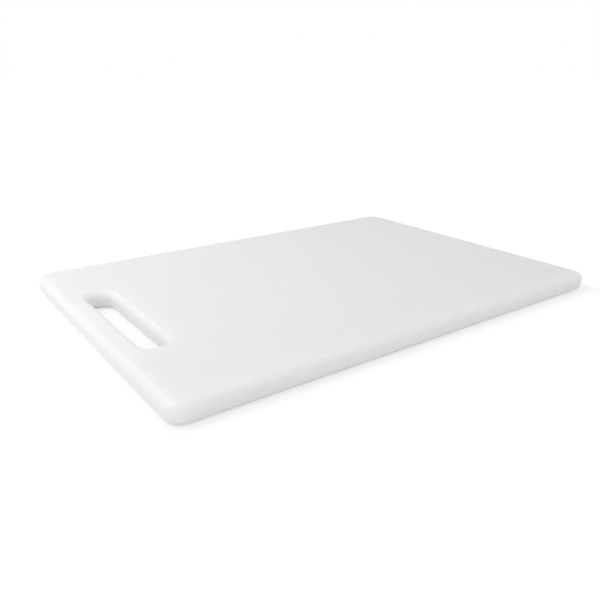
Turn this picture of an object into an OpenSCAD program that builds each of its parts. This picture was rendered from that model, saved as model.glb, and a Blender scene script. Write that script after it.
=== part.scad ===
/* [Board] */
// Length of the board, along X
board_length = 340; // [240:1:480]
// Width of the board, along Y
board_width = 240; // [160:1:320]
// Thickness of the board, between its two faces
board_thickness = 13; // [10:0.5:25]
// Radius of the four corners, seen from above
corner_radius = 10; // [7:0.5:30]
// Radius that rounds the outer edge at each face
edge_radius = 4.5; // [1:0.25:6]

/* [Hand slot] */
// Length of the slot at its narrowest, half way through the board
slot_length = 105; // [80:1:130]
// Width of the slot at its narrowest, half way through the board
slot_width = 16; // [12:0.5:30]
// Radius that rounds the rim of the slot at each face
rim_radius = 4.5; // [1:0.25:6]
// Width of the bar left between the end of the board and the slot
bar_width = 15.5; // [13:0.5:40]

/* [Hidden] */
$fn = 96;

board_colour = [0.94, 0.94, 0.92];

// Centres of the corner arcs, measured from the middle of the board
corner_x = board_length / 2 - corner_radius;
corner_y = board_width / 2 - corner_radius;

// The slot lies across the left end, half way along the board's width
slot_radius = slot_width / 2;
slot_x = -board_length / 2 + bar_width + slot_radius;
slot_end_y = slot_length / 2 - slot_radius;

// A rectangle with round corners, centred on the origin
module rounded_rectangle(length, width, radius) {
    square([length - 2 * radius, width], center = true);
    square([length, width - 2 * radius], center = true);
    for (x = [-1, 1], y = [-1, 1])
        translate([x * (length / 2 - radius), y * (width / 2 - radius)])
            circle(r = radius);
}

// A straight slot with round ends, centred on the origin and long along Y
module stadium(end_y, radius) {
    square([2 * radius, 2 * end_y], center = true);
    for (y = [-1, 1])
        translate([0, y * end_y])
            circle(r = radius);
}

// Section through an edge: as deep as its own radius, rounded at both faces on its +X side
module edge_section(radius) {
    translate([0, radius])
        square([radius, board_thickness - 2 * radius]);
    for (height = [radius, board_thickness - radius])
        intersection() {
            translate([0, height])
                circle(r = radius);
            square([radius, board_thickness]);
        }
}

// A straight stretch of edge, rounded on its +X side and centred along Y
module straight_edge(length, radius) {
    translate([0, length / 2, 0])
        rotate([90, 0, 0])
            linear_extrude(height = length)
                edge_section(radius);
}

// The sheet between the rounded edges, with the slot's opening at its faces
module sheet() {
    linear_extrude(height = board_thickness)
        difference() {
            rounded_rectangle(board_length - 2 * edge_radius,
                              board_width - 2 * edge_radius,
                              corner_radius - edge_radius);
            translate([slot_x, 0])
                stadium(slot_end_y, slot_radius + rim_radius);
        }
}

// The rounded edge all the way round the board
module outer_edge() {
    for (side = [0, 180])
        rotate([0, 0, side])
            translate([board_length / 2 - edge_radius, 0, 0])
                straight_edge(2 * corner_y, edge_radius);
    for (side = [90, 270])
        rotate([0, 0, side])
            translate([board_width / 2 - edge_radius, 0, 0])
                straight_edge(2 * corner_x, edge_radius);
    for (corner = [[1, 1, 0], [-1, 1, 90], [-1, -1, 180], [1, -1, 270]])
        translate([corner.x * corner_x, corner.y * corner_y, 0])
            rotate([0, 0, corner.z])
                rotate_extrude(angle = 90)
                    translate([corner_radius - edge_radius, 0])
                        edge_section(edge_radius);
}

// The rounded rim inside the slot
module slot_rim() {
    for (side = [0, 180])
        translate([slot_x, 0, 0])
            rotate([0, 0, side])
                translate([-slot_radius - rim_radius, 0, 0])
                    straight_edge(2 * slot_end_y, rim_radius);
    for (end = [0, 180])
        translate([slot_x, 0, 0])
            rotate([0, 0, end])
                translate([0, slot_end_y, 0])
                    rotate_extrude(angle = 180)
                        translate([slot_radius + rim_radius, 0])
                            mirror([1, 0])
                                edge_section(rim_radius);
}

// The whole board, one solid piece
module board() {
    color(board_colour)
        union() {
            sheet();
            outer_edge();
            slot_rim();
        }
}

board();
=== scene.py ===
import math
import bpy
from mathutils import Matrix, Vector
from mathutils.geometry import delaunay_2d_cdt


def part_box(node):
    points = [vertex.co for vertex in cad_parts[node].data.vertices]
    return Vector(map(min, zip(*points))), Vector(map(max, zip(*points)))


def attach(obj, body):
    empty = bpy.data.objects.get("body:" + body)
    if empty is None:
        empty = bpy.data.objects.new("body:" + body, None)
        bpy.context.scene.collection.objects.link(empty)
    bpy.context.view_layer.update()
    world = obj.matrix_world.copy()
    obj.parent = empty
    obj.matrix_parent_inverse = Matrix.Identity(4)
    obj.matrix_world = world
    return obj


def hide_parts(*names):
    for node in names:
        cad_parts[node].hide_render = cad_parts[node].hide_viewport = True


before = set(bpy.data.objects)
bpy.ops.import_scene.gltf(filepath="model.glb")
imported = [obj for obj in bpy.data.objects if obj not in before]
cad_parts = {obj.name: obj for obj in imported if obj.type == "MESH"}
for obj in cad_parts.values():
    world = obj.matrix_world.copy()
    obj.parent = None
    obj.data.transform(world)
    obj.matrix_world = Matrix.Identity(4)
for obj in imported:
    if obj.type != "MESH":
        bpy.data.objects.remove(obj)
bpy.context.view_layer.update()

# Sizes of the board in metres, the same as those of the CAD solid
CORNER_RADIUS = 0.010
EDGE_RADIUS = 0.0045
SLOT_LENGTH = 0.105
SLOT_WIDTH = 0.016
RIM_RADIUS = 0.0045
BAR_WIDTH = 0.0155

# How finely the mesh follows the shape: steps round each arc and up the wall,
# and spacings in metres along the straight runs and across the flat faces
CORNER_STEPS = 16
SLOT_END_STEPS = 36
ROUNDING_STEPS = 10
WALL_STEPS = 4
RUN_SPACING = 0.005
FACE_SPACING = 0.006

# How a flat face is cut into triangles: first over all that its outline spans, the slot too,
# and with points taken as one only when closer than this many metres
WHOLE_HULL = 0
MERGE_DISTANCE = 1e-7

low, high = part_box("board")
half_x = (high[0] - low[0]) / 2
half_y = (high[1] - low[1]) / 2
thickness = high[2] - low[2]
slot_radius = SLOT_WIDTH / 2
slot_x = low[0] + BAR_WIDTH + slot_radius
slot_end_y = SLOT_LENGTH / 2 - slot_radius
corner_x = half_x - CORNER_RADIUS
corner_y = half_y - CORNER_RADIUS
board_centres = [(corner_x, corner_y), (-corner_x, corner_y),
                 (-corner_x, -corner_y), (corner_x, -corner_y)]
slot_centres = [(slot_x, slot_end_y), (slot_x, -slot_end_y)]


def add_object(name, data):
    """Adds an object to the scene."""
    made = bpy.data.objects.new(name, data)
    bpy.context.scene.collection.objects.link(made)
    return made


def outline(centres, radius, steps):
    """Closed anticlockwise outline of arcs and straight runs: (x, y, outward x, outward y)."""
    points = []
    sweep = 2 * math.pi / len(centres)
    for i, (cx, cy) in enumerate(centres):
        for k in range(steps + 1):
            angle = sweep * (i + k / steps)
            c, s = math.cos(angle), math.sin(angle)
            points.append((cx + radius * c, cy + radius * s, c, s))
        x, y, nx, ny = points[-1]
        dx, dy = (b - a for a, b in zip((cx, cy), centres[(i + 1) % len(centres)]))
        parts = max(1, round(math.hypot(dx, dy) / RUN_SPACING))
        points += [(x + dx * k / parts, y + dy * k / parts, nx, ny) for k in range(1, parts)]
    return points


def edge_profile(radius):
    """Section of an edge, rounded at both faces, upwards: (inset, height, outward, upward)."""
    rows = []
    for i in range(ROUNDING_STEPS + 1):
        angle = math.pi / 2 * (i / ROUNDING_STEPS - 1)
        out, up = math.cos(angle), math.sin(angle)
        rows.append((radius * (1 - out), radius * (1 + up), out, up))
    wall = thickness - 2 * radius
    rows += [(0, radius + wall * i / WALL_STEPS, 1, 0) for i in range(1, WALL_STEPS)]
    for i in range(ROUNDING_STEPS + 1):
        angle = math.pi / 2 * i / ROUNDING_STEPS
        out, up = math.cos(angle), math.sin(angle)
        rows.append((radius * (1 - out), thickness - radius * (1 - up), out, up))
    return rows


def inside(x, y, margin):
    """True where the flat face reaches more than margin past the point."""
    over_x, over_y = max(abs(x) - corner_x, 0), max(abs(y) - corner_y, 0)
    past_end = max(abs(y) - slot_end_y, 0)
    return (math.hypot(over_x, over_y) < CORNER_RADIUS - EDGE_RADIUS - margin
            and math.hypot(x - slot_x, past_end) > slot_radius + RIM_RADIUS + margin)


def board_mesh(name):
    """The board as one closed mesh: two flat faces, and strips round the outside and the slot."""
    points, normals, faces = [], [], []

    def strip(centres, radius, rounding, steps, side):
        """One edge all the way round: side is 1 for the outside and -1 for the slot."""
        rings = []
        for inset, height, out, up in edge_profile(rounding):
            ring = outline(centres, radius - side * inset, steps)
            rings.append(range(len(points), len(points) + len(ring)))
            points.extend((x, y, height) for x, y, nx, ny in ring)
            normals.extend((side * nx * out, side * ny * out, up) for x, y, nx, ny in ring)
        for a, b in zip(rings, rings[1:]):
            for i in range(len(a)):
                j = (i + 1) % len(a)
                quad = (a[i], a[j], b[j], b[i])
                faces.append(quad[::side])
        return rings[0], rings[-1]

    def flat(outer, slot, height, up):
        """One flat face between the two strips: up is 1 for the top and -1 for the bottom."""
        ids = [*outer, *slot]
        flat_points = [Vector(points[i][:2]) for i in ids]
        edges = []
        for first, count in ((0, len(outer)), (len(outer), len(slot))):
            edges += [(first + i, first + (i + 1) % count) for i in range(count)]
        columns = round(2 * half_x / FACE_SPACING)
        rows = round(2 * half_y / FACE_SPACING)
        for i in range(1, columns):
            for k in range(1, rows):
                x = low[0] + 2 * half_x * i / columns
                y = low[1] + 2 * half_y * k / rows
                if inside(x, y, FACE_SPACING / 2):
                    ids.append(len(points))
                    flat_points.append(Vector((x, y)))
                    points.append((x, y, height))
                    normals.append((0, 0, up))
        places, _, triangles, origins, _, _ = delaunay_2d_cdt(
            flat_points, edges, [], WHOLE_HULL, MERGE_DISTANCE)
        for corners in triangles:
            x, y = sum((places[i] for i in corners), Vector((0, 0))) / len(corners)
            if inside(x, y, 0):
                faces.append(tuple(ids[origins[i][0]] for i in corners)[::up])

    bottom_outer, top_outer = strip(board_centres, CORNER_RADIUS, EDGE_RADIUS, CORNER_STEPS, 1)
    bottom_slot, top_slot = strip(slot_centres, slot_radius, RIM_RADIUS, SLOT_END_STEPS, -1)
    flat(top_outer, top_slot, thickness, 1)
    flat(bottom_outer, bottom_slot, 0, -1)

    mesh = bpy.data.meshes.new(name)
    mesh.from_pydata(points, [], faces)
    mesh.validate()
    mesh.shade_smooth()
    mesh.normals_split_custom_set_from_vertices(normals)
    return add_object(name, mesh)


def new_tree(owner):
    """An empty node tree for a material or world."""
    owner.use_nodes = True
    owner.node_tree.nodes.clear()
    return owner.node_tree


def add(tree, kind, inputs=None, **settings):
    """Adds a shader node. An input is a value, or an output socket to link."""
    node = tree.nodes.new(kind)
    for key, value in settings.items():
        setattr(node, key, value)
    for key, value in (inputs or {}).items():
        if isinstance(value, bpy.types.NodeSocket):
            tree.links.new(value, node.inputs[key])
        else:
            node.inputs[key].default_value = value
    return node


WHITE = (1, 1, 1, 1)

# Sockets of the Mix node that have no name of their own when it mixes colours
MIX_COLOUR_A = 6
MIX_COLOUR_B = 7
MIX_COLOUR_RESULT = 2

# The plastic. Scales are per metre, and lengths are in metres
CLOUD_DARKER = (0.915, 0.912, 0.897, 1)
CLOUD_LIGHTER = (0.930, 0.929, 0.919, 1)
CLOUD_SCALE = 16.0
CLOUD_DETAIL = 3.0
GRAIN_SCALE = 1200.0
GRAIN_DETAIL = 3.0
GRAIN_HARSHNESS = 0.6
MILLING_SCALES = (30.0, 30.0, 1600.0)  # long lines round the edge, and narrow up and down
MILLING_DETAIL = 2.0
RELIEF_HEIGHT = 0.0002
SMOOTHEST, ROUGHEST = 0.40, 0.50
REFRACTION = 1.54
SCATTER_REACH = 0.008

# How far up or down the surface points, from 0 to 1, where the milling begins to give way to
# the grain and where only the grain is left
GRAIN_BEGINS = 0.90
GRAIN_ALONE = 0.999


def board_plastic():
    """White polyethylene: very slightly clouded, grained on the faces and milled on the edges."""
    material = bpy.data.materials.new("board_plastic")
    tree = new_tree(material)
    place = add(tree, "ShaderNodeTexCoord").outputs["Object"]
    normal = add(tree, "ShaderNodeNewGeometry").outputs["Normal"]
    facing = add(tree, "ShaderNodeSeparateXYZ", {0: normal}).outputs["Z"]
    upright = add(tree, "ShaderNodeMath", {0: facing}, operation="ABSOLUTE").outputs[0]
    on_face = add(tree, "ShaderNodeMapRange", {
        "Value": upright, "From Min": GRAIN_BEGINS, "From Max": GRAIN_ALONE}).outputs[0]

    clouds = add(tree, "ShaderNodeTexNoise", {
        "Vector": place, "Scale": CLOUD_SCALE, "Detail": CLOUD_DETAIL}).outputs["Fac"]
    colour = add(tree, "ShaderNodeMix", {
        "Factor": clouds, MIX_COLOUR_A: CLOUD_DARKER, MIX_COLOUR_B: CLOUD_LIGHTER},
        data_type="RGBA").outputs[MIX_COLOUR_RESULT]

    grain = add(tree, "ShaderNodeTexNoise", {
        "Vector": place, "Scale": GRAIN_SCALE, "Detail": GRAIN_DETAIL,
        "Roughness": GRAIN_HARSHNESS}).outputs["Fac"]
    stretched = add(tree, "ShaderNodeMapping", {
        "Vector": place, "Scale": MILLING_SCALES}).outputs[0]
    milling = add(tree, "ShaderNodeTexNoise", {
        "Vector": stretched, "Scale": 1.0, "Detail": MILLING_DETAIL}).outputs["Fac"]
    relief = add(tree, "ShaderNodeMix", {
        "Factor": on_face, "A": milling, "B": grain}, data_type="FLOAT").outputs[0]
    bump = add(tree, "ShaderNodeBump", {
        "Strength": 1.0, "Distance": RELIEF_HEIGHT, "Height": relief}).outputs[0]
    gloss = add(tree, "ShaderNodeMapRange", {
        "Value": grain, "To Min": SMOOTHEST, "To Max": ROUGHEST}).outputs[0]

    surface = add(tree, "ShaderNodeBsdfPrincipled", {
        "Base Color": colour, "Roughness": gloss, "IOR": REFRACTION, "Normal": bump,
        "Subsurface Weight": 1.0, "Subsurface Radius": (1.0, 1.0, 1.0),
        "Subsurface Scale": SCATTER_REACH}).outputs[0]
    add(tree, "ShaderNodeOutputMaterial", {"Surface": surface})
    return material


board = board_mesh("board_body")
board.data.materials.append(board_plastic())
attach(board, "root")
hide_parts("board")


def seen(tree):
    """1 for a ray that shows the background or its reflection, and 0 for one that gathers light."""
    path = add(tree, "ShaderNodeLightPath")
    first = add(tree, "ShaderNodeMath", {
        0: path.outputs["Is Camera Ray"], 1: path.outputs["Is Glossy Ray"]}, operation="MAXIMUM")
    return add(tree, "ShaderNodeMath", {
        0: first.outputs[0], 1: path.outputs["Is Transmission Ray"]},
        operation="MAXIMUM").outputs[0]


# The white table. Lengths are in metres
FLOOR_SIZE = 16.0
FLOOR_DROP = 0.0002  # keeps it clear of the board's lower face, with which it would flicker
FLOOR_WHITE = 0.95  # its colour for the light
FLOOR_SEEN = 0.45  # its colour where it is seen, with a glow added to lift its shadows
NEAR_GLOW = 0.58
FAR_GLOW = 0.95
GLOW_REACH = 0.05  # how far from the board the glow grows


def floor_white():
    """Plain matt white to the light, with its shadows lifted where it is seen."""
    material = bpy.data.materials.new("floor_white")
    tree = new_tree(material)
    plain = add(tree, "ShaderNodeBsdfDiffuse", {
        "Color": (FLOOR_WHITE, FLOOR_WHITE, FLOOR_WHITE, 1)}).outputs[0]
    shown = add(tree, "ShaderNodeBsdfDiffuse", {
        "Color": (FLOOR_SEEN, FLOOR_SEEN, FLOOR_SEEN, 1)}).outputs[0]
    place = add(tree, "ShaderNodeTexCoord").outputs["Object"]
    spread = add(tree, "ShaderNodeVectorMath", {0: place}, operation="ABSOLUTE")
    past = add(tree, "ShaderNodeVectorMath", {
        0: spread.outputs[0], 1: (half_x, half_y, 0)}, operation="SUBTRACT")
    past = add(tree, "ShaderNodeVectorMath", {
        0: past.outputs[0], 1: (0, 0, 0)}, operation="MAXIMUM")
    away = add(tree, "ShaderNodeVectorMath", {
        0: past.outputs[0]}, operation="LENGTH").outputs["Value"]
    glow = add(tree, "ShaderNodeMapRange", {
        "Value": away, "From Max": GLOW_REACH,
        "To Min": NEAR_GLOW, "To Max": FAR_GLOW}).outputs[0]
    lift = add(tree, "ShaderNodeEmission", {"Color": WHITE, "Strength": glow}).outputs[0]
    lifted = add(tree, "ShaderNodeAddShader", {0: shown, 1: lift}).outputs[0]
    surface = add(tree, "ShaderNodeMixShader", {
        0: seen(tree), 1: plain, 2: lifted}).outputs[0]
    add(tree, "ShaderNodeOutputMaterial", {"Surface": surface})
    return material


reach = FLOOR_SIZE / 2
floor_mesh = bpy.data.meshes.new("floor")
floor_mesh.from_pydata(
    [(-reach, -reach, 0), (reach, -reach, 0), (reach, reach, 0), (-reach, reach, 0)],
    [], [(0, 1, 2, 3)])
floor = add_object("floor", floor_mesh)
floor.location.z = -FLOOR_DROP
floor_mesh.materials.append(floor_white())

# The white studio all round. This is the light that it sheds, and where it is seen it is white
ROOM_LIGHT = 0.62

world = bpy.data.worlds.new("studio")
bpy.context.scene.world = world
tree = new_tree(world)
strength = add(tree, "ShaderNodeMapRange", {
    "Value": seen(tree), "To Min": ROOM_LIGHT, "To Max": 1.0}).outputs[0]
room = add(tree, "ShaderNodeBackground", {"Color": WHITE, "Strength": strength}).outputs[0]
add(tree, "ShaderNodeOutputWorld", {"Surface": room})


def turn(thing, direction):
    """Turns a lamp or camera to face along a direction, with its top up."""
    thing.rotation_mode = "QUATERNION"
    thing.rotation_quaternion = direction.to_track_quat("-Z", "Y")


def soft_box(name, watts, size, spot, target):
    """A square lamp that the camera doesn't see."""
    lamp = bpy.data.lights.new(name, "AREA")
    lamp.energy, lamp.size = watts, size
    holder = add_object(name, lamp)
    holder.visible_camera = False
    holder.location = spot
    turn(holder, Vector(target) - Vector(spot))


soft_box("key", watts=1.26, size=0.5, spot=(-0.566, 0, 0.566), target=(0, 0, 0))
soft_box("fill", watts=1.03, size=0.8, spot=(0, -1.256, 0.336), target=(0, 0, 0))
soft_box("overhead", watts=0.312, size=0.3, spot=(-0.25, 0.2, 0.4), target=(-0.05, 0.05, 0))

# The camera stands where the photograph's perspective puts it
LENS_MM = 36.80
SENSOR_MM = 36.0
PITCH = math.radians(20.77)
YAW = math.radians(35.61)
AIM = Vector((-0.02101, -0.01343, 0))
DISTANCE = 0.44414
NEAREST = 0.01

forward = Vector((math.sin(YAW) * math.cos(PITCH), math.cos(YAW) * math.cos(PITCH),
                  -math.sin(PITCH)))
lens = bpy.data.cameras.new("camera")
lens.lens, lens.sensor_width, lens.clip_start = LENS_MM, SENSOR_MM, NEAREST
camera = add_object("camera", lens)
camera.location = AIM - forward * DISTANCE
turn(camera, forward)
bpy.context.scene.camera = camera
bpy.context.scene.view_settings.view_transform = "Standard"
